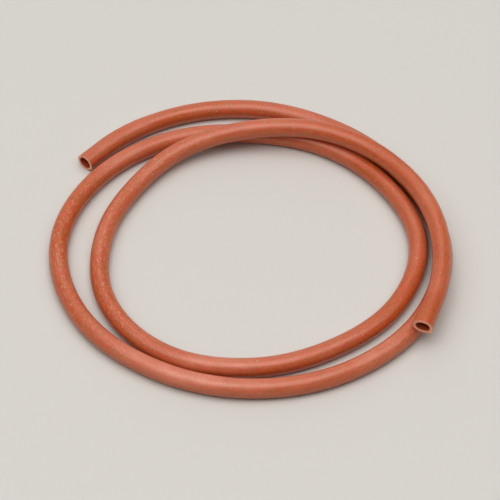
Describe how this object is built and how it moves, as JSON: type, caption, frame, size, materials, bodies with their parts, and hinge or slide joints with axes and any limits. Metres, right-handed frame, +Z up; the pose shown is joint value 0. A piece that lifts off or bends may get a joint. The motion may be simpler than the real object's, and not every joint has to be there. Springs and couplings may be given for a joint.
{
  "type": "rubber gas tubing",
  "caption": "Plain red rubber gas tube lying in a loose flat coil, cut square and open at each end.",
  "frame": {"origin": "middle of the coil's outline seen from above, on the table that it lies on", "axes": "+Z up from the table, +X across the coil towards its raised end's side, +Y towards the side where the top turn climbs over the others"},
  "size_m": [0.2306, 0.2234, 0.0223],
  "materials": {
    "rubber": "matte, with a faint dusty bloom"
  },
  "bodies": {
    "root": {"tubing": "rubber"}
  },
  "joints": []
}
